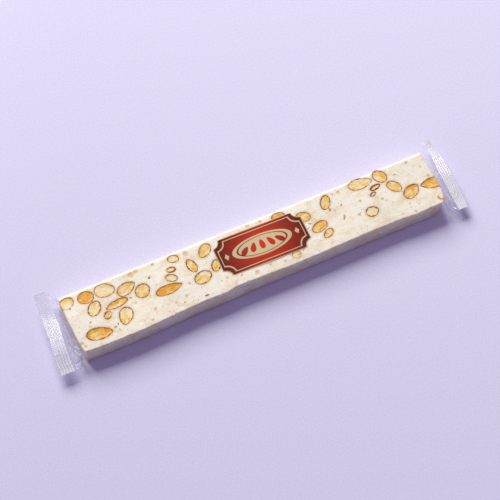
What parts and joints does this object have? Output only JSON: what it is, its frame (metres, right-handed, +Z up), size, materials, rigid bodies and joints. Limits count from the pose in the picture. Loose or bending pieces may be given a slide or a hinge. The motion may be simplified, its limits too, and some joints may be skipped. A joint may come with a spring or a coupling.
{
  "type": "wrapped nougat bar",
  "caption": "Long flat bar of white nougat set with cut roasted almonds, in a clear film wrapper with a crimped seal at each end.",
  "frame": {"origin": "middle of the bar's flat underside", "axes": "+X along the bar towards its right end, +Y towards its back side, +Z up"},
  "size_m": [0.238, 0.0474, 0.0103],
  "materials": {
    "nougat": "satin, faintly mottled",
    "almond": "satin",
    "film": "clear, glossy"
  },
  "bodies": {
    "root": {"nougat": "nougat", "almond_01": "almond", "almond_02": "almond", "almond_03": "almond", "almond_04": "almond", "almond_05": "almond", "almond_06": "almond", "almond_07": "almond", "almond_08": "almond", "almond_09": "almond", "almond_10": "almond", "almond_11": "almond", "almond_12": "almond", "almond_13": "almond", "almond_14": "almond", "almond_15": "almond", "almond_16": "almond", "almond_17": "almond", "almond_18": "almond", "almond_19": "almond", "almond_20": "almond", "almond_21": "almond", "almond_22": "almond", "almond_23": "almond", "almond_24": "almond", "almond_25": "almond", "almond_26": "almond", "almond_27": "almond", "almond_28": "almond", "almond_29": "almond", "almond_30": "almond", "almond_31": "almond", "almond_32": "almond", "wrapper_end_left": "film", "wrapper_end_right": "film"}
  },
  "joints": []
}
